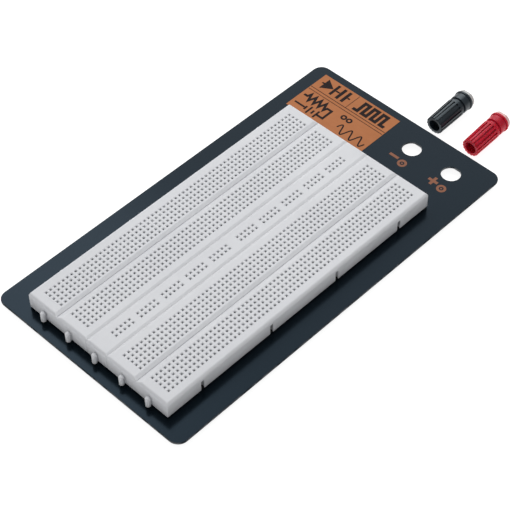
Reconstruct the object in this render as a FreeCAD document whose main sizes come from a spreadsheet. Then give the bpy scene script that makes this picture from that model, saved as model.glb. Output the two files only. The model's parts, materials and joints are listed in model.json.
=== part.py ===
"""Solderless breadboard on a base plate, with two loose binding posts beside it.

Frame: millimetres, +X across the strips, +Y along the strips towards the end with the post
holes, +Z up.  The origin is the middle of the whole set's box, on the bench.  The strips
are stuck to the plate with foam, the plate stands on four rubber feet, and the two posts
lie on the bench beyond the plate's far edge, with their mouths towards the plate.
"""
import FreeCAD, Part
import math
import os
import Sketcher
from FreeCAD import Placement, Rotation, Vector

DIMENSIONS = {
    # contact grid
    "pitch": 2.54,
    "columns": 64,
    "rows": 5,
    "trench_pitches": 3,
    "hole_side": 0.92,
    "funnel_side": 1.6,
    "funnel_depth": 0.22,
    "cell_side": 1.9,
    "cell_end": 1.05,
    "ceiling": 1.3,
    "bus_first": 2,
    "bus_second": 33,
    "bus_groups": 5,
    "bus_group": 5,
    "bus_group_step": 6,
    # strip housings
    "strip_length": 172.4,
    "terminal_width": 38.6,
    "bus_width": 13.1,
    "strip_height": 8.4,
    "strip_gap": 0.05,
    "edge_round": 1.5,
    "corner_round": 0.4,
    "seam_run": 1.3,
    "seam_drop": 0.35,
    "trench_top": 4.4,
    "trench_floor": 0.6,
    "trench_depth": 0.6,
    "groove_depth": 0.25,
    # pegs and sockets that join one strip to the next
    "peg_radius": 1.25,
    "peg_reach": 1.3,
    "peg_web": 1.5,
    "peg_top": 5.4,
    "peg_dome": 0.56,
    "socket_radius": 1.42,
    "socket_neck": 1.9,
    "socket_top": 5.7,
    "end_peg_offset": 8.4,
    "side_peg_near": 21.65,
    "side_peg_far": 64.95,
    # contact clips
    "clip_length": 12.0,
    "clip_end": 0.9,
    "clip_metal": 0.22,
    "clip_half": 0.8,
    "clip_low": 0.3,
    "clip_bend": 3.2,
    "clip_pinch": 5.3,
    "clip_top": 6.6,
    "clip_mouth": 0.7,
    "clip_grip": 0.1,
    # foam sheets under the strips
    "foam_thick": 0.8,
    "foam_inset": 0.7,
    # base plate, its label and its feet
    "plate_width": 120.0,
    "plate_length": 220.0,
    "plate_thick": 1.2,
    "plate_corner": 5.5,
    "plate_rim": 0.25,
    "plate_shift": 16.3,
    "strips_back": 16.3,
    "strips_side": 0.8,
    "dhole_radius": 4.95,
    "dhole_flat": 4.6,
    "dhole_left": 15.0,
    "dhole_pitch": 25.0,
    "dhole_edge": 15.2,
    "label_width": 50.5,
    "label_depth": 30.0,
    "label_thick": 0.1,
    "label_side": 7.6,
    "label_edge": 4.5,
    "foot_radius": 6.0,
    "foot_height": 3.0,
    "foot_round": 1.0,
    "foot_inset": 9.0,
    # binding posts, measured up the post from the plate
    "rim_round": 0.25,
    "boss_radius": 4.85,
    "boss_flat": 4.45,
    "boss_depth": 1.9,
    "flange_radius": 5.45,
    "flange_thick": 1.2,
    "collar_radius": 5.0,
    "collar_top": 5.4,
    "neck_radius": 4.25,
    "neck_top": 7.0,
    "cap_top": 24.4,
    "cap_foot_radius": 5.1,
    "cap_mouth_radius": 4.85,
    "cap_bore": 3.2,
    "cap_socket": 3.9,
    "cap_shoulder": 17.0,
    "flute_count": 16,
    "flute_width": 0.95,
    "flute_floor": 4.4,
    "flute_foot": 8.6,
    "insert_radius": 3.86,
    "insert_bore": 3.05,
    "insert_top": 16.9,
    "stem_radius": 3.0,
    "stem_top": 19.6,
    "stem_socket": 2.0,
    "stem_socket_foot": 7.6,
    "stem_wire_hole": 1.1,
    "stem_wire_height": 8.8,
    "stem_tap": 1.5,
    "stem_tap_top": 4.0,
    "post_clearance": 0.05,
    "screw_shank": 1.47,
    "screw_end": 3.2,
    "screw_gap": 0.01,
    "screw_head": 2.75,
    "screw_head_thick": 1.6,
    "screw_slot": 0.8,
    "screw_slot_depth": 0.6,
    # where the posts lie: from the plate's middle to the flange face, and their headings,
    # and how far up a post the edge of its mouth touches the bench
    "black_across": 12.2,
    "black_along": 138.95,
    "black_heading": 1.5,
    "red_across": 35.1,
    "red_along": 138.95,
    "red_heading": 2.0,
    "mouth_touch": 24.1,
}

# How far a cutting shape runs past the faces that it opens.
OVERSHOOT = 1.0
# How far the parts of one fused shape reach into each other.
OVERLAP = 0.2
# Lengths closer than this count as equal.
CLOSE = 1e-6

DOC = FreeCAD.newDocument("breadboard_set")
SHEET = DOC.addObject("Spreadsheet::Sheet", "sizes")


class Dim:
    """A length and the spreadsheet expression that gives it."""

    def __init__(self, value, text):
        self.value = float(value)
        self.text = text

    def __add__(self, other):
        other = as_dim(other)
        return Dim(self.value + other.value, f"({self.text} + {other.text})")

    def __sub__(self, other):
        other = as_dim(other)
        return Dim(self.value - other.value, f"({self.text} - {other.text})")

    def __mul__(self, factor):
        return Dim(self.value * factor, f"({self.text} * {factor})")

    def __neg__(self):
        return self * -1

    def __truediv__(self, factor):
        return Dim(self.value / factor, f"({self.text} / {factor})")


def as_dim(number):
    """A plain number as a Dim; a Dim stays as it is."""
    return number if isinstance(number, Dim) else Dim(number, str(number))


def dim(name):
    """The named cell of the sheet, for binding."""
    return Dim(DIMENSIONS[name], f"sizes.{name}")


def num(name):
    """The named cell's value, read back from the sheet."""
    return float(SHEET.get(name))


def fill_sheet():
    for row, (name, value) in enumerate(DIMENSIONS.items(), start=1):
        SHEET.set(f"A{row}", name.replace("_", " "))
        SHEET.set(f"B{row}", str(value))
        SHEET.setAlias(f"B{row}", name)
    DOC.recompute()


def bind(thing, prop, length):
    """Give a property its value through an expression on the sheet."""
    setattr(thing, prop, length.value)
    thing.setExpression(prop, length.text)


def place(thing, across, along, up):
    """Bind a sub-part's position to the sheet."""
    for axis, length in zip("xyz", (across, along, up)):
        thing.setExpression(f"Placement.Base.{axis}", as_dim(length).text)


# ---------------------------------------------------------------- sketches and bodies

def new_body(label):
    body = DOC.addObject("PartDesign::Body", label)
    body.Label = label
    return body


def new_sketch(body, role, offset=None):
    """A sketch on one of the body's own origin planes."""
    plane = next(item for item in body.Origin.OriginFeatures if item.Role == role)
    sketch = body.newObject("Sketcher::SketchObject", body.Name + "_sketch")
    sketch.AttachmentSupport = [(plane, "")]
    sketch.MapMode = "FlatFace"
    if offset is not None:
        sketch.setExpression("AttachmentOffset.Base.z", offset.text)
    return sketch


def pin_point(sketch, edge, end, across, up):
    """Hold one sketch point at a bound distance from the origin."""
    for kind, axis, length in (("DistanceX", -2, across), ("DistanceY", -1, up)):
        length = as_dim(length)
        if length.value == 0:
            sketch.addConstraint(Sketcher.Constraint("PointOnObject", edge, end, axis))
            continue
        number = sketch.addConstraint(Sketcher.Constraint(kind, -1, 1, edge, end, length.value))
        sketch.setExpression(f"Constraints[{number}]", length.text)


def outline(sketch, points):
    """A closed outline of straight edges through bound points."""
    points = [(as_dim(across), as_dim(up)) for across, up in points]
    first = sketch.GeometryCount
    spots = [Vector(across.value, up.value, 0) for across, up in points]
    for start, end in zip(spots, spots[1:] + spots[:1]):
        sketch.addGeometry(Part.LineSegment(start, end), False)
    count = len(points)
    for step in range(count):
        here = first + step
        after = first + (step + 1) % count
        sketch.addConstraint(Sketcher.Constraint("Coincident", here, 2, after, 1))
        pin_point(sketch, here, 1, *points[step])
    return sketch


def rectangle(sketch, left, right, low, high):
    return outline(sketch, [(left, low), (right, low), (right, high), (left, high)])


def circle(sketch, across, up, radius):
    spot = Vector(as_dim(across).value, as_dim(up).value, 0)
    edge = sketch.addGeometry(Part.Circle(spot, Vector(0, 0, 1), radius.value), False)
    number = sketch.addConstraint(Sketcher.Constraint("Radius", edge, radius.value))
    sketch.setExpression(f"Constraints[{number}]", radius.text)
    pin_point(sketch, edge, 3, across, up)


def d_outline(sketch, across, up, radius, flat):
    """A circle with a flat on its +Y side: one arc and one chord."""
    half_turn = math.acos(flat.value / radius.value)
    centre = Vector(across.value, up.value, 0)
    ring = Part.Circle(centre, Vector(0, 0, 1), radius.value)
    start = math.pi / 2 + half_turn
    end = math.pi / 2 - half_turn + 2 * math.pi
    arc = sketch.addGeometry(Part.ArcOfCircle(ring, start, end), False)
    half_chord = radius.value * math.sin(half_turn)
    right = centre + Vector(half_chord, flat.value, 0)
    left = centre + Vector(-half_chord, flat.value, 0)
    chord = sketch.addGeometry(Part.LineSegment(right, left), False)
    sketch.addConstraint(Sketcher.Constraint("Coincident", arc, 2, chord, 1))
    sketch.addConstraint(Sketcher.Constraint("Coincident", chord, 2, arc, 1))
    sketch.addConstraint(Sketcher.Constraint("Horizontal", chord))
    number = sketch.addConstraint(Sketcher.Constraint("Radius", arc, radius.value))
    sketch.setExpression(f"Constraints[{number}]", radius.text)
    pin_point(sketch, arc, 3, across, up)
    height = up + flat
    number = sketch.addConstraint(Sketcher.Constraint("DistanceY", -1, 1, chord, 1, height.value))
    sketch.setExpression(f"Constraints[{number}]", height.text)


def pad(body, sketch, height, midplane=False):
    feature = body.newObject("PartDesign::Pad", body.Name + "_pad")
    feature.Profile = sketch
    feature.Midplane = midplane
    bind(feature, "Length", height)
    DOC.recompute()
    return feature


def pocket(body, sketch, depth, midplane=False, reverse=False):
    """Cut a pocket, and stop if it took nothing away."""
    before = body.Shape.Volume
    feature = body.newObject("PartDesign::Pocket", body.Name + "_pocket")
    feature.Profile = sketch
    feature.Midplane = midplane
    feature.Reversed = reverse
    bind(feature, "Length", depth)
    DOC.recompute()
    if not body.Shape.Volume < before - CLOSE:
        raise RuntimeError(f"{feature.Name} cuts nothing")
    return feature


def revolve(body, sketch):
    """Turn a profile drawn on the XZ plane about the body's own Z axis."""
    feature = body.newObject("PartDesign::Revolution", body.Name + "_turned")
    feature.Profile = sketch
    feature.ReferenceAxis = (sketch, ["V_Axis"])
    feature.Angle = 360
    DOC.recompute()
    return feature


def turned_body(label, points):
    body = new_body(label)
    revolve(body, outline(new_sketch(body, "XZ_Plane"), points))
    return body


def dress(body, kind, size_name, choose):
    """Fillet or chamfer the edges of the body's tip that choose picks."""
    tip = body.Tip
    names = [f"Edge{n}" for n, edge in enumerate(tip.Shape.Edges, start=1) if choose(edge)]
    feature = body.newObject("PartDesign::" + kind, f"{body.Name}_{kind}")
    feature.Base = (tip, names)
    bind(feature, "Radius" if kind == "Fillet" else "Size", dim(size_name))
    DOC.recompute()
    return feature


def is_upright(edge):
    box = edge.BoundBox
    return box.ZLength > CLOSE and box.XLength < CLOSE and box.YLength < CLOSE


def lies_at(edge, height):
    box = edge.BoundBox
    return abs(box.ZMin - height) < CLOSE and abs(box.ZMax - height) < CLOSE


def ring_radius(edge):
    """Half the width of a ring round the body's axis."""
    return edge.BoundBox.XLength / 2


# ---------------------------------------------------------------- heights of the layers

def plate_bottom():
    return dim("foot_height")


def plate_top():
    return plate_bottom() + dim("plate_thick")


def strips_bottom():
    return plate_top() + dim("foam_thick")


def plate_along():
    return -dim("plate_shift")


def strips_along():
    return plate_along() - dim("strips_back")


def terminal_across(side):
    """The middle of the left (-1) or right (1) terminal strip."""
    apart = (dim("bus_width") + dim("terminal_width")) / 2 + dim("strip_gap")
    return dim("strips_side") + apart * side


# ---------------------------------------------------------------- base plate group

def make_base_plate():
    body = new_body("base_plate")
    half_width = dim("plate_width") / 2
    half_length = dim("plate_length") / 2
    sketch = rectangle(new_sketch(body, "XY_Plane"), -half_width, half_width,
                       -half_length, half_length)
    pad(body, sketch, dim("plate_thick"))
    dress(body, "Fillet", "plate_corner", is_upright)
    holes = new_sketch(body, "XY_Plane")
    along = half_length - dim("dhole_edge")
    for across in (dim("dhole_left"), dim("dhole_left") + dim("dhole_pitch")):
        d_outline(holes, across, along, dim("dhole_radius"), dim("dhole_flat"))
    pocket(body, holes, dim("plate_thick"), reverse=True)
    near_side = half_width.value - num("plate_corner")
    near_end = half_length.value - num("plate_corner")

    def on_outline(edge):
        middle = edge.BoundBox.Center
        outside = abs(middle.x) > near_side or abs(middle.y) > near_end
        return outside and (lies_at(edge, 0) or lies_at(edge, num("plate_thick")))

    dress(body, "Chamfer", "plate_rim", on_outline)
    place(body, 0, plate_along(), plate_bottom())
    return body


def make_foot(side, end):
    """One stick-on rubber foot; side and end are -1 or 1."""
    label = "foot_" + ("front" if end < 0 else "back") + ("_left" if side < 0 else "_right")
    radius = dim("foot_radius")
    height = dim("foot_height")
    body = turned_body(label, [(0, 0), (radius, 0), (radius, height), (0, height)])
    dress(body, "Fillet", "foot_round", lambda edge: lies_at(edge, 0) and edge.Closed)
    across = (dim("plate_width") / 2 - dim("foot_inset")) * side
    along = plate_along() + (dim("plate_length") / 2 - dim("foot_inset")) * end
    place(body, across, along, 0)
    return body


def make_label():
    box = DOC.addObject("Part::Box", "label_sheet")
    box.Label = "label_sheet"
    bind(box, "Length", dim("label_width"))
    bind(box, "Width", dim("label_depth"))
    bind(box, "Height", dim("label_thick"))
    across = dim("label_side") - dim("plate_width") / 2
    along = plate_along() + dim("plate_length") / 2 - dim("label_edge") - dim("label_depth")
    place(box, across, along, plate_top())
    return box


# ---------------------------------------------------------------- strip housings

def cut_trench(body):
    """A shallow V along the strip, with a narrow groove at the bottom of it."""
    top = dim("trench_top") / 2
    floor = dim("trench_floor") / 2
    height = dim("strip_height")
    low = height - dim("trench_depth")
    flare = (top - floor) / num("trench_depth") * OVERSHOOT
    trench = outline(new_sketch(body, "XZ_Plane"), [
        (-floor, low - dim("groove_depth")), (floor, low - dim("groove_depth")), (floor, low),
        (top + flare, height + OVERSHOOT), (-top - flare, height + OVERSHOOT), (-floor, low)])
    pocket(body, trench, dim("strip_length") + 2 * OVERSHOOT, midplane=True)


def cut_seam_slope(body, half_width, side):
    """A gentle slope along the top edge that lies against the next strip."""
    run = dim("seam_run")
    drop = dim("seam_drop")
    height = dim("strip_height")
    near = (half_width - run) * side
    far = (half_width + run) * side
    slope = outline(new_sketch(body, "XZ_Plane"), [
        (near, height), (far, height - drop * 2), (far, height + OVERSHOOT),
        (near, height + OVERSHOOT)])
    pocket(body, slope, dim("strip_length") + 2 * OVERSHOOT, midplane=True)


def strip_block(label, width, outer_side):
    """The moulded block of one strip, before its cells, pegs and sockets.

    outer_side is -1 or 1 for a terminal strip, the side that no other strip touches, and 0
    for the bus strip, which has a neighbour on both sides. The moulding is well rounded along
    its ends and its +X side, and almost sharp along its -X side.
    """
    body = new_body(label + "_block")
    half_width = width / 2
    half_length = dim("strip_length") / 2
    height = dim("strip_height")
    sketch = rectangle(new_sketch(body, "XY_Plane"), -half_width, half_width,
                       -half_length, half_length)
    pad(body, sketch, height)

    def on_outer_side(edge):
        offset = edge.BoundBox.Center.x - half_width.value * outer_side
        return outer_side != 0 and abs(offset) < CLOSE

    def on_rounded_top(edge):
        at_end = edge.BoundBox.YLength < CLOSE
        return lies_at(edge, height.value) and (at_end or outer_side == 1 and on_outer_side(edge))

    dress(body, "Fillet", "edge_round", on_rounded_top)
    dress(body, "Fillet", "corner_round", is_upright)
    if outer_side:
        cut_trench(body)
    for side in (-1, 1):
        if side != outer_side:
            cut_seam_slope(body, half_width, side)
    return body


def peg_spots():
    """Where a strip's side pegs sit along it."""
    near = num("side_peg_near")
    far = num("side_peg_far")
    return (-far, -near, near, far)


def peg_shape():
    """One peg on the -X wall of a strip that ends at x = 0, standing on z = 0."""
    radius = num("peg_radius")
    reach = num("peg_reach")
    top = num("peg_top")
    dome = num("peg_dome")
    stem = Part.makeCylinder(radius, top - dome, Vector(-reach, 0, 0))
    cone = Part.makeCone(radius, radius - dome, dome, Vector(-reach, 0, top - dome))
    web_side = num("peg_web")
    web_corner = Vector(-reach, -web_side / 2, 0)
    web = Part.makeBox(reach + OVERLAP, web_side, top - dome, web_corner)
    return stem.fuse([cone, web]).removeSplitter()


def socket_shape():
    """The keyhole that takes a peg, in the +X wall of a strip that ends at x = 0."""
    radius = num("socket_radius")
    reach = num("peg_reach")
    top = num("socket_top")
    neck = num("socket_neck")
    height = top + OVERSHOOT
    hole = Part.makeCylinder(radius, height, Vector(-reach, 0, -OVERSHOOT))
    way_in_corner = Vector(-reach, -neck / 2, -OVERSHOOT)
    way_in = Part.makeBox(reach + OVERSHOOT, neck, height, way_in_corner)
    return hole.fuse(way_in).removeSplitter()


def around_strip(shape, side_wall, end_wall, end_offsets):
    """Copies of a peg or socket on one side wall and one end wall of a strip."""
    copies = []
    for along in peg_spots():
        copy = shape.copy()
        copy.Placement = Placement(Vector(side_wall, along, 0), Rotation())
        copies.append(copy)
    quarter = Rotation(Vector(0, 0, 1), 90)
    for across in end_offsets:
        copy = shape.copy()
        copy.Placement = Placement(Vector(across, end_wall, 0), quarter)
        copies.append(copy)
    return copies


def square_wire(side, across, along, height):
    half = side / 2
    corners = [Vector(across + dx * half, along + dy * half, height)
               for dx, dy in ((-1, -1), (1, -1), (1, 1), (-1, 1), (-1, -1))]
    return Part.makePolygon(corners)


def tie_point_shape(across, along):
    """A square lead-in funnel and the square hole under it, down to the cell."""
    top = num("strip_height")
    funnel_foot = top - num("funnel_depth")
    side = num("hole_side")
    mouth = square_wire(num("funnel_side"), across, along, top)
    throat = square_wire(side, across, along, funnel_foot)
    funnel = Part.makeLoft([mouth, throat], True, True)
    hole_foot = top - num("ceiling") - OVERLAP
    corner = Vector(across - side / 2, along - side / 2, hole_foot)
    hole = Part.makeBox(side, side, funnel_foot - hole_foot, corner)
    return funnel.fuse(hole)


def cell_shape(length, width, spots):
    """A clip cell open at the bottom, with a tie point over each of its spots."""
    ceiling = num("strip_height") - num("ceiling")
    corner = Vector(-length / 2, -width / 2, -OVERSHOOT)
    box = Part.makeBox(length, width, ceiling + OVERSHOOT, corner)
    points = [tie_point_shape(across, along) for across, along in spots]
    return box.fuse(points).removeSplitter()


def column_spots():
    """Where the columns of tie points are along a strip, from its middle."""
    count = int(num("columns"))
    return [(column - (count - 1) / 2) * num("pitch") for column in range(count)]


def half_centre():
    """Distance from a terminal strip's middle to the middle of its five rows."""
    return (num("trench_pitches") + num("rows") - 1) / 2 * num("pitch")


def terminal_cells():
    """The cells of one terminal strip, five rows each side of the trench."""
    pitch = num("pitch")
    rows = int(num("rows"))
    length = (rows - 1) * pitch + 2 * num("cell_end")
    spots = [((row - (rows - 1) / 2) * pitch, 0) for row in range(rows)]
    cell = cell_shape(length, num("cell_side"), spots)
    return [cell.translated(Vector(side * half_centre(), along, 0))
            for side in (-1, 1) for along in column_spots()]


def bus_runs():
    """The columns of each half of a bus row, one list for each group of tie points."""
    size = int(num("bus_group"))
    step = int(num("bus_group_step"))
    halves = []
    for name in ("bus_first", "bus_second"):
        first = int(num(name))
        starts = range(first, first + int(num("bus_groups")) * step, step)
        halves.append([list(range(start, start + size)) for start in starts])
    return halves


def bus_cells():
    """Two rows of long cells, each in two halves, with groups of five tie points."""
    spots_along = column_spots()
    cells = []
    for groups in bus_runs():
        low = spots_along[groups[0][0]]
        high = spots_along[groups[-1][-1]]
        middle = (low + high) / 2
        length = high - low + 2 * num("cell_end")
        points = [(spots_along[column] - middle, 0) for group in groups for column in group]
        cell = cell_shape(length, num("cell_side"), points)
        for side in (-1, 1):
            copy = cell.copy()
            spot = Vector(side * num("pitch") / 2, middle, 0)
            copy.Placement = Placement(spot, Rotation(Vector(0, 0, 1), 90))
            cells.append(copy)
    return cells


def make_housing(label, width, cells, end_offsets, across, outer_side):
    """One strip housing: block and pegs, less its sockets and cells."""
    block = strip_block(label, width, outer_side)
    half_width = width.value / 2
    half_length = num("strip_length") / 2
    pegs = DOC.addObject("Part::Feature", label + "_pegs")
    pegs.Shape = Part.makeCompound(
        around_strip(peg_shape(), -half_width, -half_length, end_offsets))
    joined = DOC.addObject("Part::Fuse", label + "_with_pegs")
    joined.Refine = False
    joined.Base = block
    joined.Tool = pegs
    hollows = DOC.addObject("Part::Feature", label + "_hollows")
    sockets = around_strip(socket_shape(), half_width, half_length, end_offsets)
    hollows.Shape = Part.makeCompound(sockets + cells)
    housing = DOC.addObject("Part::Cut", label)
    housing.Label = label
    housing.Refine = False
    housing.Base = joined
    housing.Tool = hollows
    place(housing, across, strips_along(), strips_bottom())
    DOC.recompute()
    return housing


def make_foam(label, width, across):
    box = DOC.addObject("Part::Box", label)
    box.Label = label
    inset = dim("foam_inset")
    bind(box, "Length", width - inset * 2)
    bind(box, "Width", dim("strip_length") - inset * 2)
    bind(box, "Height", dim("foam_thick"))
    place(box, across - width / 2 + inset,
          strips_along() - dim("strip_length") / 2 + inset, plate_top())
    return box


# ---------------------------------------------------------------- contact clips

def clip_section():
    """Cross-section of a spring clip, across the cell: base, two legs and a pinched mouth."""
    metal = num("clip_metal")
    outer = [(num("clip_half"), num("clip_low")), (num("clip_half"), num("clip_bend")),
             (num("clip_grip") + metal, num("clip_pinch")), (num("clip_mouth"), num("clip_top"))]
    inner = [(num("clip_mouth") - metal, num("clip_top")), (num("clip_grip"), num("clip_pinch")),
             (num("clip_half") - metal, num("clip_bend")),
             (num("clip_half") - metal, num("clip_low") + metal)]
    right = outer + inner
    left = [(-across, up) for across, up in reversed(right)]
    return right + left


def clip_shape(length):
    """One clip along X, centred over the origin."""
    points = [Vector(-length / 2, across, up) for across, up in clip_section()]
    face = Part.Face(Part.makePolygon(points + points[:1]))
    return face.extrude(Vector(length, 0, 0))


def make_clips(label, solids, across):
    group = DOC.addObject("Part::Feature", label)
    group.Label = label
    group.Shape = Part.makeCompound(solids)
    place(group, across, strips_along(), strips_bottom())
    return group


def terminal_clips(label, side, across):
    clip = clip_shape(num("clip_length"))
    solids = [clip.translated(Vector(side * half_centre(), along, 0)) for along in column_spots()]
    return make_clips(label, solids, across)


def bus_clips(label, side, across):
    spots_along = column_spots()
    solids = []
    for groups in bus_runs():
        low = spots_along[groups[0][0]]
        high = spots_along[groups[-1][-1]]
        clip = clip_shape(high - low + 2 * num("clip_end"))
        spot = Vector(side * num("pitch") / 2, (low + high) / 2, 0)
        clip.Placement = Placement(spot, Rotation(Vector(0, 0, 1), 90))
        solids.append(clip)
    return make_clips(label, solids, across)


# ---------------------------------------------------------------- binding posts

def post_placement(colour):
    """Where a post lies: on its flange and on the lower edge of its mouth."""
    drop = num("flange_radius") - num("cap_mouth_radius")
    span = num("mouth_touch") - num("flange_thick")
    tilt = math.atan(drop / span)
    heading = math.radians(num(colour + "_heading"))
    level = Vector(math.sin(heading), -math.cos(heading), 0)
    mouth_way = level * math.cos(tilt) - Vector(0, 0, math.sin(tilt))
    height = num("flange_radius") * math.cos(tilt) + num("flange_thick") * math.sin(tilt)
    along = num(colour + "_along") - num("plate_shift")
    spot = Vector(num(colour + "_across"), along, height)
    return Placement(spot, Rotation(Vector(0, 0, 1), mouth_way))


def make_boss(label):
    """The pale D-shaped bush that fits the plate's hole."""
    body = new_body(label)
    sketch = new_sketch(body, "XY_Plane", -dim("boss_depth"))
    d_outline(sketch, as_dim(0), as_dim(0), dim("boss_radius"), dim("boss_flat"))
    pad(body, sketch, dim("boss_depth"))
    bore = new_sketch(body, "XY_Plane", -dim("boss_depth"))
    circle(bore, 0, 0, dim("stem_radius") + dim("post_clearance"))
    pocket(body, bore, dim("boss_depth"), reverse=True)
    return body


def make_collar(label):
    bore = dim("stem_radius") + dim("post_clearance")
    flange = dim("flange_radius")
    collar = dim("collar_radius")
    neck = dim("neck_radius")
    body = turned_body(label, [
        (bore, 0), (flange, 0), (flange, dim("flange_thick")), (collar, dim("flange_thick")),
        (collar, dim("collar_top")), (neck, dim("collar_top")), (neck, dim("neck_top")),
        (bore, dim("neck_top"))])

    def outer_rim(edge):
        on_flange = abs(ring_radius(edge) - flange.value) < CLOSE
        on_collar = abs(ring_radius(edge) - collar.value) < CLOSE
        return edge.Closed and (on_flange or on_collar and lies_at(edge, num("collar_top")))

    dress(body, "Fillet", "rim_round", outer_rim)
    return body


def make_stem(label):
    """The brass post: a lead socket in its top, a wire hole through it, a tapped foot."""
    radius = dim("stem_radius")
    socket = dim("stem_socket")
    tap = dim("stem_tap")
    foot = -dim("boss_depth")
    body = turned_body(label, [
        (tap, foot), (radius, foot), (radius, dim("stem_top")), (socket, dim("stem_top")),
        (socket, dim("stem_socket_foot")), (0, dim("stem_socket_foot")),
        (0, dim("stem_tap_top")), (tap, dim("stem_tap_top"))])
    wire_hole = new_sketch(body, "XZ_Plane")
    circle(wire_hole, 0, dim("stem_wire_height"), dim("stem_wire_hole"))
    pocket(body, wire_hole, radius * 2 + 2 * OVERSHOOT, midplane=True)
    return body


def make_insert(label):
    """The threaded brass sleeve inside the cap, which runs on the stem."""
    bore = dim("insert_bore")
    outer = dim("insert_radius")
    low = dim("neck_top") + dim("post_clearance")
    high = dim("insert_top")
    return turned_body(label, [(bore, low), (outer, low), (outer, high), (bore, high)])


def make_cap(label):
    """The fluted plastic cap that clamps the wire and guides a plug into the stem."""
    bore = dim("cap_bore")
    socket = dim("cap_socket")
    low = dim("neck_top") + dim("post_clearance")
    body = turned_body(label, [
        (socket, low), (dim("cap_foot_radius"), low), (dim("cap_mouth_radius"), dim("cap_top")),
        (bore, dim("cap_top")), (bore, dim("cap_shoulder")), (socket, dim("cap_shoulder"))])
    outer_edges = (num("cap_foot_radius"), num("cap_mouth_radius"))

    def outer_rim(edge):
        return edge.Closed and any(abs(ring_radius(edge) - radius) < CLOSE for radius in outer_edges)

    dress(body, "Fillet", "rim_round", outer_rim)
    half = dim("flute_width") / 2
    flute = new_sketch(body, "XZ_Plane", dim("flute_floor"))
    rectangle(flute, -half, half, dim("flute_foot"), dim("cap_top") + OVERSHOOT)
    outwards = dim("cap_foot_radius") - dim("flute_floor") + OVERSHOOT
    first = pocket(body, flute, outwards, reverse=True)
    before = body.Shape.Volume
    pattern = body.newObject("PartDesign::PolarPattern", label + "_flutes")
    pattern.Originals = [first]
    axis = next(item for item in body.Origin.OriginFeatures if item.Role == "Z_Axis")
    pattern.Axis = (axis, [""])
    pattern.Angle = 360
    pattern.Occurrences = int(num("flute_count"))
    body.Tip = pattern
    DOC.recompute()
    if not body.Shape.Volume < before - CLOSE:
        raise RuntimeError("the flutes were not repeated")
    return body


def make_screw(label):
    """The screw in the stem's foot that holds the post on the plate."""
    shank = dim("screw_shank")
    head = dim("screw_head")
    seat = -dim("boss_depth") - dim("screw_gap")
    low = seat - dim("screw_head_thick")
    body = turned_body(label, [
        (0, low), (head, low), (head, seat), (shank, seat), (shank, dim("screw_end")),
        (0, dim("screw_end"))])
    dress(body, "Fillet", "rim_round", lambda edge: edge.Closed and lies_at(edge, low.value))
    slot = new_sketch(body, "XY_Plane", low)
    half = dim("screw_slot") / 2
    rectangle(slot, -half, half, -head - OVERSHOOT, head + OVERSHOOT)
    pocket(body, slot, dim("screw_slot_depth"), reverse=True)
    return body


def make_post(colour):
    makers = {"boss": make_boss, "collar": make_collar, "stem": make_stem,
              "cap_insert": make_insert, "cap_shell": make_cap, "foot_screw": make_screw}
    spot = post_placement(colour)
    pieces = []
    for name, maker in makers.items():
        piece = maker(f"{colour}_post_{name}")
        piece.Placement = spot
        pieces.append(piece)
    return pieces


# ---------------------------------------------------------------- the whole set

def make_all():
    pieces = [make_base_plate(), make_label()]
    for end in (-1, 1):
        for side in (-1, 1):
            pieces.append(make_foot(side, end))
    terminal_width = dim("terminal_width")
    bus_width = dim("bus_width")
    offset = num("end_peg_offset")
    for name, side in (("left", -1), ("right", 1)):
        across = terminal_across(side)
        label = f"terminal_strip_{name}"
        pieces.append(make_housing(label, terminal_width, terminal_cells(), (-offset, offset),
                                   across, side))
        pieces.append(make_foam(label + "_foam", terminal_width, across))
        pieces.append(terminal_clips(label + "_clips_outer", side, across))
        pieces.append(terminal_clips(label + "_clips_inner", -side, across))
    middle = dim("strips_side")
    pieces.append(make_housing("bus_strip", bus_width, bus_cells(), (0,), middle, 0))
    pieces.append(make_foam("bus_strip_foam", bus_width, middle))
    pieces.append(bus_clips("bus_strip_clips_left", -1, middle))
    pieces.append(bus_clips("bus_strip_clips_right", 1, middle))
    for colour in ("black", "red"):
        pieces.extend(make_post(colour))
    DOC.recompute()
    return pieces


def check_document(pieces):
    """Stop if any object failed or any sub-part is empty or not valid."""
    for thing in DOC.Objects:
        if "Invalid" in thing.State or "Error" in thing.State:
            raise RuntimeError(f"{thing.Name} is {thing.State}")
    for piece in pieces:
        shape = piece.Shape
        if shape.isNull() or not shape.isValid() or not shape.Solids:
            raise RuntimeError(f"{piece.Label} has no valid solid")


def export(pieces):
    os.makedirs("parts", exist_ok=True)
    for piece in pieces:
        piece.Shape.exportStep(f"parts/{piece.Label}.step")
        print(piece.Label, len(piece.Shape.Solids), "solids", len(piece.Shape.Faces), "faces")


fill_sheet()
PIECES = make_all()
check_document(PIECES)
export(PIECES)
BOX = Part.makeCompound([piece.Shape for piece in PIECES]).BoundBox
print("box", BOX)
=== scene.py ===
"""Looks of the solderless breadboard set: the finish of every CAD node, the print on the label
and the plate, a softly glowing white floor, studio light and the camera.  Everything is in
metres, except that the printed marks are drawn in millimetres."""
import json
import math

import bmesh
import bpy
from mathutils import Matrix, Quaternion, Vector


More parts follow.
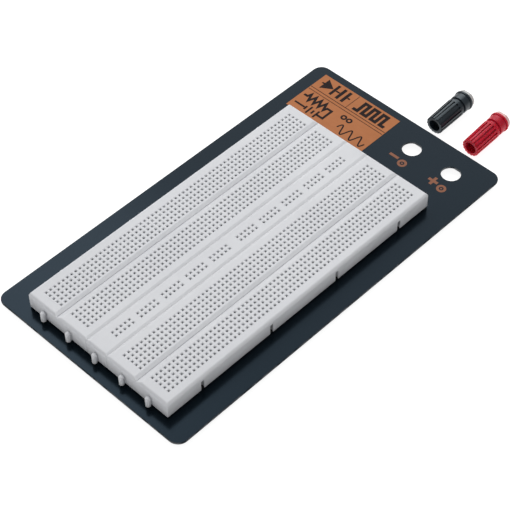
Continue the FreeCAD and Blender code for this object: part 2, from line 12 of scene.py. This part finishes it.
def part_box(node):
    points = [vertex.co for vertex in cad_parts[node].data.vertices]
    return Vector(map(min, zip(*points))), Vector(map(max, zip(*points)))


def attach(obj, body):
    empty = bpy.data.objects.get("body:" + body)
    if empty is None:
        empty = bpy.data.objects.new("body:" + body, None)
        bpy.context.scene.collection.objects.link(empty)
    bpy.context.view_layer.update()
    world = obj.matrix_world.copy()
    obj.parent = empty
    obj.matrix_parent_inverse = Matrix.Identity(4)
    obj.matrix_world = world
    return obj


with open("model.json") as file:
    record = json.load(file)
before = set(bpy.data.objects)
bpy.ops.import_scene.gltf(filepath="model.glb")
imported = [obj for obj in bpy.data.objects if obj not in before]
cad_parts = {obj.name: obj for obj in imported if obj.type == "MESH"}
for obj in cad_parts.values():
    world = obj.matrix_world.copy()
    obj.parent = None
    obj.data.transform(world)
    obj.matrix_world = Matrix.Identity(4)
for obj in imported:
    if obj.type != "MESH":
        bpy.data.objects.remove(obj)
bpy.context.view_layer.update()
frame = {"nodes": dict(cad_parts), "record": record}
NODES = frame["nodes"]
RECORD = frame["record"]
MM = 0.001


# ---------------------------------------------------------------- node materials

# Noise runs from 0 to 1 and seldom leaves this span.
NOISE_LOW = 0.3
NOISE_HIGH = 0.7
EVEN_REACH = (1.0, 1.0, 1.0)


class Finish:
    """A node material being made: short calls that add nodes and join them."""

    def __init__(self, name):
        self.material = bpy.data.materials.new(name)
        self.material.use_nodes = True
        self.tree = self.material.node_tree
        self.surface = self.tree.nodes["Principled BSDF"]
        self.spot = self.tree.nodes.new("ShaderNodeTexCoord").outputs["Object"]
        self.normal = None

    def fixed(self, **values):
        """Constants on the shader's own sockets, by name with _ for a space."""
        for name, value in values.items():
            self.surface.inputs[name.replace("_", " ")].default_value = value

    def translucent(self, share, depth, reach=EVEN_REACH):
        """Let a share of the light in, to about this depth, with a reach for each colour."""
        self.fixed(Subsurface_Weight=share, Subsurface_Radius=reach, Subsurface_Scale=depth)

    def join(self, output, socket):
        self.tree.links.new(output, socket)

    def drive(self, name, output):
        self.join(output, self.surface.inputs[name])

    def stretched(self, x_scale):
        """The object's own coordinates, scaled along X: below 1, patterns are drawn out along it."""
        mapping = self.tree.nodes.new("ShaderNodeMapping")
        mapping.inputs["Scale"].default_value = (x_scale, 1, 1)
        self.join(self.spot, mapping.inputs["Vector"])
        return mapping.outputs["Vector"]

    def noise(self, size, detail=2.0, rough=0.5, where=None):
        """Soft noise whose blobs are about size metres across."""
        node = self.tree.nodes.new("ShaderNodeTexNoise")
        node.inputs["Scale"].default_value = 0.5 / size
        node.inputs["Detail"].default_value = detail
        node.inputs["Roughness"].default_value = rough
        self.join(where or self.spot, node.inputs["Vector"])
        return node.outputs["Fac"]

    def cells(self, size):
        """Distance to the nearest of many scattered points, for pores and specks."""
        node = self.tree.nodes.new("ShaderNodeTexVoronoi")
        node.inputs["Scale"].default_value = 1 / size
        self.join(self.spot, node.inputs["Vector"])
        return node.outputs["Distance"]

    def remap(self, value, start=NOISE_LOW, end=NOISE_HIGH, low=0.0, high=1.0):
        """Value between start and end as a number between low and high, clamped."""
        node = self.tree.nodes.new("ShaderNodeMapRange")
        self.join(value, node.inputs["Value"])
        for name, number in (("From Min", start), ("From Max", end), ("To Min", low), ("To Max", high)):
            node.inputs[name].default_value = number
        return node.outputs["Result"]

    def blend(self, share, first, second):
        """The first colour where share is 0, the second where it is 1."""
        node = self.tree.nodes.new("ShaderNodeMix")
        node.data_type = "RGBA"
        self.join(share, node.inputs["Factor"])
        for slot, colour in (("A", first), ("B", second)):
            socket = next(s for s in node.inputs if s.name == slot and s.type == "RGBA")
            if isinstance(colour, bpy.types.NodeSocket):
                self.join(colour, socket)
            else:
                socket.default_value = (*colour, 1)
        return next(s for s in node.outputs if s.type == "RGBA")

    def math(self, kind, first, second=0.0):
        """One step of arithmetic on an output and either another output or a number."""
        node = self.tree.nodes.new("ShaderNodeMath")
        node.operation = kind
        self.join(first, node.inputs[0])
        if isinstance(second, bpy.types.NodeSocket):
            self.join(second, node.inputs[1])
        else:
            node.inputs[1].default_value = second
        return node.outputs["Value"]

    def level_share(self):
        """How level the surface is: 1 on faces that look up or down, 0 on walls."""
        geometry = self.tree.nodes.new("ShaderNodeNewGeometry")
        parts = self.tree.nodes.new("ShaderNodeSeparateXYZ")
        self.join(geometry.outputs["True Normal"], parts.inputs["Vector"])
        return self.math("ABSOLUTE", parts.outputs["Z"])

    def tone(self, share, first, second):
        """The surface colour, from the first where share is 0 to the second where it is 1."""
        self.drive("Base Color", self.blend(share, first, second))

    def roughness(self, pattern, low, high):
        """Roughness that follows a noise pattern between low and high."""
        self.drive("Roughness", self.remap(pattern, low=low, high=high))

    def bump(self, height, depth, strength=1.0):
        """Raise the surface by height times depth metres, on top of earlier bumps."""
        node = self.tree.nodes.new("ShaderNodeBump")
        node.inputs["Distance"].default_value = depth
        node.inputs["Strength"].default_value = strength
        self.join(height, node.inputs["Height"])
        if self.normal:
            self.join(self.normal, node.inputs["Normal"])
        self.normal = node.outputs["Normal"]
        self.drive("Normal", self.normal)


def strip_plastic():
    """White moulded plastic, cool and a little translucent, with a fine mould texture."""
    finish = Finish("strip_plastic")
    patches = finish.remap(finish.noise(14 * MM, detail=3), 0.35, 0.65)
    finish.tone(patches, (0.635, 0.645, 0.672), (0.665, 0.675, 0.70))
    grain = finish.noise(0.35 * MM, detail=3, rough=0.6)
    finish.roughness(grain, 0.42, 0.54)
    finish.bump(grain, 0.012 * MM, strength=0.5)
    sink_marks = finish.noise(9 * MM, detail=1)
    finish.bump(sink_marks, 0.05 * MM, strength=0.4)
    finish.translucent(0.4, 1.2 * MM)
    return finish.material


def plate_paint():
    """Dark blue-black enamel on steel, with a few dust specks; the cut edges are pale, partly as thin
    worn paint and partly as a painted highlight along the rim.
    """
    finish = Finish("plate_paint")
    clouds = finish.remap(finish.noise(45 * MM, detail=3), 0.35, 0.65)
    paint = finish.blend(clouds, (0.0022, 0.0050, 0.0078), (0.0036, 0.0068, 0.0098))
    specks = finish.remap(finish.cells(2.2 * MM), 0.05, 0.02)
    speckled = finish.remap(finish.noise(7 * MM), 0.55, 0.62)
    dust = finish.math("MULTIPLY", finish.math("MULTIPLY", specks, speckled), 0.12)
    dusty = finish.blend(dust, paint, (0.12, 0.14, 0.16))
    # Pale patchy tone on the plate's walls: partly thin worn paint on the cut edges, partly a painted
    # highlight along the rim.
    edges = finish.remap(finish.level_share(), 0.9, 0.6)
    rubbed_and_highlight = finish.remap(finish.noise(2.5 * MM, detail=4, rough=0.7), 0.40, 0.62)
    finish.tone(finish.math("MULTIPLY", edges, rubbed_and_highlight), dusty, (0.13, 0.135, 0.14))
    finish.roughness(finish.noise(30 * MM, detail=4), 0.17, 0.23)
    finish.bump(finish.noise(0.8 * MM), 0.004 * MM, strength=0.5)
    finish.fixed(Specular_IOR_Level=0.115, Specular_Tint=(0.45, 0.72, 1.0, 1))
    return finish.material


def label_foil():
    """Copper-toned foil sheet with a faint brushed grain and a little mottling."""
    finish = Finish("label_foil")
    mottle = finish.remap(finish.noise(4 * MM, detail=4, rough=0.6))
    foil = finish.blend(mottle, (0.410, 0.140, 0.042), (0.450, 0.156, 0.050))
    brushed = finish.noise(0.5 * MM, detail=3, rough=0.6, where=finish.stretched(0.06))
    finish.tone(finish.remap(brushed, 0.35, 0.7, high=0.3), foil, (0.390, 0.132, 0.040))
    finish.roughness(brushed, 0.42, 0.5)
    finish.bump(brushed, 0.002 * MM, strength=0.4)
    finish.fixed(Specular_IOR_Level=0.13)
    return finish.material


def print_ink(name, colour, thin_colour):
    """Screen-printed ink, a little thin in places."""
    finish = Finish(name)
    thin = finish.remap(finish.noise(0.7 * MM, detail=3, rough=0.6), 0.52, 0.75, high=0.6)
    finish.tone(thin, colour, thin_colour)
    finish.roughness(finish.noise(0.3 * MM), 0.5, 0.62)
    finish.bump(finish.noise(0.25 * MM), 0.004 * MM, strength=0.5)
    finish.fixed(Specular_IOR_Level=0.08)
    return finish.material


def foot_rubber():
    """Matt black rubber."""
    finish = Finish("foot_rubber")
    mottle = finish.remap(finish.noise(1.5 * MM, detail=3))
    finish.tone(mottle, (0.018, 0.018, 0.018), (0.030, 0.030, 0.031))
    finish.roughness(finish.noise(0.5 * MM), 0.7, 0.85)
    finish.bump(finish.noise(0.3 * MM, detail=3), 0.02 * MM, strength=0.6)
    return finish.material


def clip_spring_metal():
    """Plated spring strip with a rolled grain along X."""
    finish = Finish("clip_spring_metal")
    rolled = finish.noise(0.4 * MM, detail=3, rough=0.6, where=finish.stretched(0.1))
    finish.tone(rolled, (0.60, 0.57, 0.50), (0.72, 0.69, 0.62))
    finish.roughness(rolled, 0.28, 0.42)
    finish.bump(rolled, 0.003 * MM)
    finish.fixed(Metallic=1.0)
    return finish.material


def foam_tape():
    """Dark closed-cell foam: pores on the cut edge."""
    finish = Finish("foam_tape")
    pores = finish.cells(0.28 * MM)
    finish.tone(pores, (0.006, 0.007, 0.007), (0.022, 0.024, 0.025))
    finish.bump(pores, 0.08 * MM, strength=0.8)
    finish.fixed(Roughness=0.95)
    return finish.material


def pale_nylon(name, low, high):
    """Pale insulating plastic, mottled between two tones."""
    finish = Finish(name)
    finish.tone(finish.remap(finish.noise(2 * MM, detail=3)), low, high)
    finish.roughness(finish.noise(0.4 * MM), 0.38, 0.5)
    finish.bump(finish.noise(0.3 * MM), 0.006 * MM, strength=0.5)
    finish.translucent(0.3, 0.8 * MM)
    return finish.material


def turned_metal(name, low, high, rough):
    """Plated turned metal with a fine tool grain."""
    finish = Finish(name)
    grain = finish.noise(0.3 * MM, detail=3, rough=0.6)
    finish.tone(grain, low, high)
    finish.roughness(grain, rough - 0.06, rough + 0.08)
    finish.bump(grain, 0.004 * MM, strength=0.6)
    finish.fixed(Metallic=1.0)
    return finish.material


def cap_plastic(name, deep, pale, shine, rough, glow):
    """Glossy moulded plastic, slightly rubbed, with fine flow marks; shine is the colour of its
    highlights and glow is the share of the light that it lets in."""
    finish = Finish(name)
    flow = finish.noise(2.5 * MM, detail=4, rough=0.6)
    finish.tone(finish.remap(flow, 0.35, 0.75), deep, pale)
    grain = finish.noise(0.35 * MM, detail=3, rough=0.6)
    finish.roughness(grain, rough - 0.05, rough + 0.07)
    finish.bump(grain, 0.004 * MM, strength=0.6)
    finish.translucent(glow, 2.5 * MM, reach=(1.0, 0.14, 0.12))
    finish.fixed(Specular_Tint=(*shine, 1))
    return finish.material


def finish_nodes():
    """Give every CAD node the finish of its slot, except that the red post's boss is pinkish."""
    by_slot = {
        "plate_paint": plate_paint(),
        "label_foil": label_foil(),
        "foot_rubber": foot_rubber(),
        "strip_plastic": strip_plastic(),
        "foam_tape": foam_tape(),
        "clip_spring_metal": clip_spring_metal(),
        "pale_nylon": pale_nylon("pale_nylon_grey", (0.50, 0.50, 0.49), (0.60, 0.60, 0.59)),
        "nickelled_brass": turned_metal(
            "nickelled_brass", (0.62, 0.58, 0.50), (0.72, 0.68, 0.60), rough=0.30),
        "steel_screw": turned_metal(
            "steel_screw", (0.52, 0.53, 0.54), (0.62, 0.63, 0.64), rough=0.34),
        "black_plastic": cap_plastic(
            "black_plastic", (0.006, 0.011, 0.016), (0.012, 0.018, 0.025),
            shine=(0.80, 0.93, 1.0), rough=0.33, glow=0.0),
        "red_plastic": cap_plastic(
            "red_plastic", (0.44, 0.004, 0.018), (0.50, 0.007, 0.028),
            shine=(0.78, 0.42, 0.52), rough=0.43, glow=0.75),
    }
    by_node = {
        "red_post_boss": pale_nylon("pale_nylon_pink", (0.70, 0.45, 0.44), (0.78, 0.56, 0.54)),
    }
    for part in RECORD["subparts"]:
        name = part["node"]
        skin = NODES[name].data.materials
        skin.clear()
        skin.append(by_node.get(name, by_slot[part["material_slot"]]))


# ---------------------------------------------------------------- printed marks

PRINT_THICK = 0.02 * MM
PRINT_SINK = 0.01 * MM
CURVE_STEPS = 40


def disc(across, along, radius):
    """Points round a circle, in the drawing's own millimetres."""
    angles = [2 * math.pi * step / CURVE_STEPS for step in range(CURVE_STEPS)]
    return [(across + radius * math.cos(a), along + radius * math.sin(a)) for a in angles]


def block(left, low, right, high):
    """Corners of a rectangle."""
    return [(left, low), (right, low), (right, high), (left, high)]


def ribbon(points, width):
    """Outline of a line of even width through the points, with mitred corners of limited reach."""
    least_cosine = 0.3
    spots = [Vector(point) for point in points]
    ways = [(after - here).normalized() for here, after in zip(spots, spots[1:])]
    left = []
    right = []
    for number, spot in enumerate(spots):
        before = ways[max(number - 1, 0)]
        after = ways[min(number, len(ways) - 1)]
        side = Vector((-before.y - after.y, before.x + after.x)).normalized()
        half = width / 2 / max(side.dot(Vector((-after.y, after.x))), least_cosine)
        left.append(tuple(spot + side * half))
        right.append(tuple(spot - side * half))
    return left + right[::-1]


class Print:
    """Flat printed marks drawn in millimetres from a corner, as one thin mesh."""

    def __init__(self, corner):
        self.corner = corner
        self.mesh = bmesh.new()

    def vertices(self, outline):
        """New vertices at the points of an outline, sunk a little into the surface."""
        low = self.corner.z - PRINT_SINK
        return [self.mesh.verts.new((self.corner.x + across * MM, self.corner.y + along * MM, low))
                for across, along in outline]

    def raise_faces(self, faces):
        """Turn flat faces into a closed thin solid."""
        lifted = bmesh.ops.extrude_face_region(self.mesh, geom=faces, use_keep_orig=True)
        tops = [item for item in lifted["geom"] if isinstance(item, bmesh.types.BMVert)]
        bmesh.ops.translate(self.mesh, verts=tops, vec=(0, 0, PRINT_THICK + PRINT_SINK))

    def fill(self, outline):
        self.raise_faces([self.mesh.faces.new(self.vertices(outline))])

    def bar(self, left, right, level, width):
        """A bar across, of this width about its level."""
        self.fill(block(left, level - width / 2, right, level + width / 2))

    def line(self, points, width):
        self.fill(ribbon(points, width))

    def ring(self, across, along, radius, width):
        """A ring, as faces between two circles."""
        outer = self.vertices(disc(across, along, radius + width / 2))
        inner = self.vertices(disc(across, along, radius - width / 2))
        count = len(outer)
        self.raise_faces([self.mesh.faces.new((outer[n], outer[(n + 1) % count],
                                               inner[(n + 1) % count], inner[n]))
                          for n in range(count)])

    def finish(self, name, material, slot):
        """Make the piece, and let it ride on the plate's body."""
        bmesh.ops.recalc_face_normals(self.mesh, faces=self.mesh.faces)
        data = bpy.data.meshes.new(name)
        self.mesh.to_mesh(data)
        self.mesh.free()
        data.materials.append(material)
        piece = bpy.data.objects.new(name, data)
        bpy.context.scene.collection.objects.link(piece)
        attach(piece, "base")


def square_wave(left, low, half_period, height, jumps):
    """Corners of a pulse train that starts low and jumps this many times."""
    points = [(left, low)]
    level = low
    for step in range(1, jumps + 1):
        across = left + half_period * step
        points.append((across, level))
        level = low + height if step % 2 else low
        points.append((across, level))
    points.append((left + half_period * (jumps + 1), level))
    return points


def zigzag(left, right, middle, height, teeth):
    """A resistor's zigzag between two short leads."""
    lead = 2.2
    step = (right - left - 2 * lead) / (2 * teeth)
    points = [(left, middle), (left + lead, middle)]
    for tooth in range(2 * teeth):
        way = 1 if tooth % 2 == 0 else -1
        points.append((left + lead + step * (tooth + 0.5), middle + way * height / 2))
    points += [(right - lead, middle), (right, middle)]
    return points


def sine(left, right, middle, height, periods):
    """Points along a sine wave."""
    steps = CURVE_STEPS * periods
    return [(left + (right - left) * n / steps,
             middle + height / 2 * math.sin(2 * math.pi * periods * n / steps))
            for n in range(steps + 1)]


def print_rules(corner, width, ink):
    """The lines that divide the label into fields."""
    margin = 0.3
    rules = Print(corner)
    for level, stroke in ((18.45, 0.4), (16.575, 0.35)):
        rules.bar(margin, width - margin, level, stroke)
    rules.fill(block(23.65, 18.7, 23.95, 29.6))
    rules.finish("label_print_rules", ink, "label_foil")


def print_symbols(corner, ink):
    """A diode and a capacitor in line, and a pulse train, in the label's far fields."""
    level = 24.4
    lead = 1.0
    plate = 8.4
    arrow_foot = 4.0
    arrow_half = 4.1
    wave_line = 1.9

    symbols = Print(corner)
    symbols.bar(2.6, arrow_foot, level, lead)
    symbols.fill([(arrow_foot, level - arrow_half), (10.4, level), (arrow_foot, level + arrow_half)])
    for left, right, height in ((10.5, 12.1, plate), (12.2, 14.6, lead), (14.7, 16.5, plate),
                                (18.1, 19.9, plate), (20.0, 21.6, lead)):
        symbols.bar(left, right, level, height)
    symbols.line(square_wave(26.6, 20.9, half_period=3.0, height=6.8, jumps=6), wave_line)
    symbols.finish("label_print_symbols", ink, "label_foil")


def print_circuit(corner, ink):
    """A resistor wired to a battery, two sockets and a sine wave, in the label's near field."""
    left = 1.8
    right = 20.7
    resistor_level = 11.6
    battery_level = 4.6
    battery_left = 8.5
    battery_right = 16.6
    wire = 1.35
    lead = 1.1
    cell_plate = 1.1
    cell_pitch = 2.4
    cell_start = 15.8
    cell_heights = (5.6, 2.8, 5.6, 2.8)
    socket_level = 12.6
    wave_line = 0.8

    circuit = Print(corner)
    resistor = zigzag(left, 20.0, resistor_level, height=4.6, teeth=4)
    way_back = [(right, resistor_level), (right, battery_level), (battery_right, battery_level)]
    circuit.line(resistor + way_back, wire)
    for number, height in enumerate(cell_heights):
        across = cell_start - cell_pitch * number
        circuit.bar(across, across + cell_plate, battery_level, height)
    circuit.bar(left, battery_left, battery_level, lead)
    for across in (28.1, 31.7):
        circuit.ring(across, socket_level, radius=1.25, width=1.0)
    circuit.line(sine(30.0, 48.4, 5.2, height=6.0, periods=3), wave_line)
    circuit.finish("label_print_circuit", ink, "label_foil")


def print_label():
    """Generic circuit symbols on the foil, drawn in millimetres from its near left corner."""
    low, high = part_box("label_sheet")
    corner = Vector((low.x, low.y, high.z))
    ink = print_ink("label_ink", (0.012, 0.006, 0.006), (0.050, 0.022, 0.014))
    print_rules(corner, (high.x - low.x) / MM, ink)
    print_symbols(corner, ink)
    print_circuit(corner, ink)


def print_hole_marks():
    """A minus by the left post hole and a plus by the right one, each with a socket ring."""
    from_hole = Vector((-0.4, -10.1)) * MM
    stroke = 1.6
    level = 0.45
    upright_left = -3.6
    upright_right = upright_left + stroke
    upright_half = 2.8
    gap = 0.02
    socket = (3.4, -0.9)

    plate_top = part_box("base_plate")[1].z
    holes = {mount["name"]: mount["pos_m"] for mount in RECORD["mounts"]}
    copper = print_ink("mark_copper_ink", (0.28, 0.118, 0.070), (0.17, 0.078, 0.052))
    for side, is_plus in (("left", False), ("right", True)):
        hole = holes[f"post_hole_{side}"]
        mark = Print(Vector((hole[0] + from_hole.x, hole[1] + from_hole.y, plate_top)))
        mark.bar(-5.6, 0.0, level, stroke)
        if is_plus:
            clear = stroke / 2 + gap
            mark.fill(block(upright_left, level + clear, upright_right, level + upright_half))
            mark.fill(block(upright_left, level - upright_half, upright_right, level - clear))
        mark.ring(*socket, radius=1.85, width=1.3)
        mark.fill(disc(*socket, radius=0.5))
        mark.finish(f"post_mark_{side}", copper, "label_foil")


# ---------------------------------------------------------------- stage, light and camera

def white_floor():
    """A plain white floor that glows a little, so that it stays pale under the object."""
    half = 3.0
    data = bpy.data.meshes.new("floor")
    data.from_pydata([(-half, -half, 0), (half, -half, 0), (half, half, 0), (-half, half, 0)],
                     [], [(0, 1, 2, 3)])
    floor = bpy.data.objects.new("floor", data)
    bpy.context.scene.collection.objects.link(floor)
    white = Finish("floor_white")
    white.fixed(Base_Color=(0.40, 0.40, 0.40, 1), Roughness=0.9,
                Emission_Color=(1, 1, 1, 1), Emission_Strength=0.895)
    data.materials.append(white.material)


def soft_light(name, spot, target, size, power):
    """A round area light of this diameter, aimed from a spot at a target."""
    data = bpy.data.lights.new(name, "AREA")
    data.shape = "DISK"
    data.size = size
    data.energy = power
    lamp = bpy.data.objects.new(name, data)
    lamp.location = spot
    lamp.rotation_mode = "QUATERNION"
    lamp.rotation_quaternion = (Vector(target) - Vector(spot)).to_track_quat("-Z", "Y")
    bpy.context.scene.collection.objects.link(lamp)


def studio_light():
    """Even white surroundings, a broad key light and a small one mirrored in the plate's left side."""
    world = bpy.data.worlds.new("studio")
    world.use_nodes = True
    sky = world.node_tree.nodes["Background"]
    sky.inputs["Color"].default_value = (1.0, 1.0, 1.0, 1)
    sky.inputs["Strength"].default_value = 0.45
    bpy.context.scene.world = world
    soft_light("key", (-0.71, 0.75, 1.125), (0, 0, 0), size=1.65, power=17.1)
    soft_light("window", (-0.68, 0.31, 0.95), (0, -0.12, 0), size=0.38, power=1.15)


def camera():
    """The camera, to the right of the near end and above, with a slight roll."""
    spot = Vector((0.36774, -0.38895, 0.5827))
    target = Vector((0.00504, -0.02285, 0.0))
    roll = math.radians(-0.815)

    data = bpy.data.cameras.new("camera")
    data.lens = 116.6
    data.sensor_width = 36.0
    data.clip_start = 0.01
    data.clip_end = 20.0
    shooter = bpy.data.objects.new("camera", data)
    shooter.location = spot
    shooter.rotation_mode = "QUATERNION"
    level = (target - spot).to_track_quat("-Z", "Y")
    shooter.rotation_quaternion = level @ Quaternion((0, 0, 1), roll)
    bpy.context.scene.collection.objects.link(shooter)
    bpy.context.scene.camera = shooter


camera()
finish_nodes()
print_label()
print_hole_marks()
white_floor()
studio_light()
bpy.context.scene.view_settings.view_transform = "Standard"
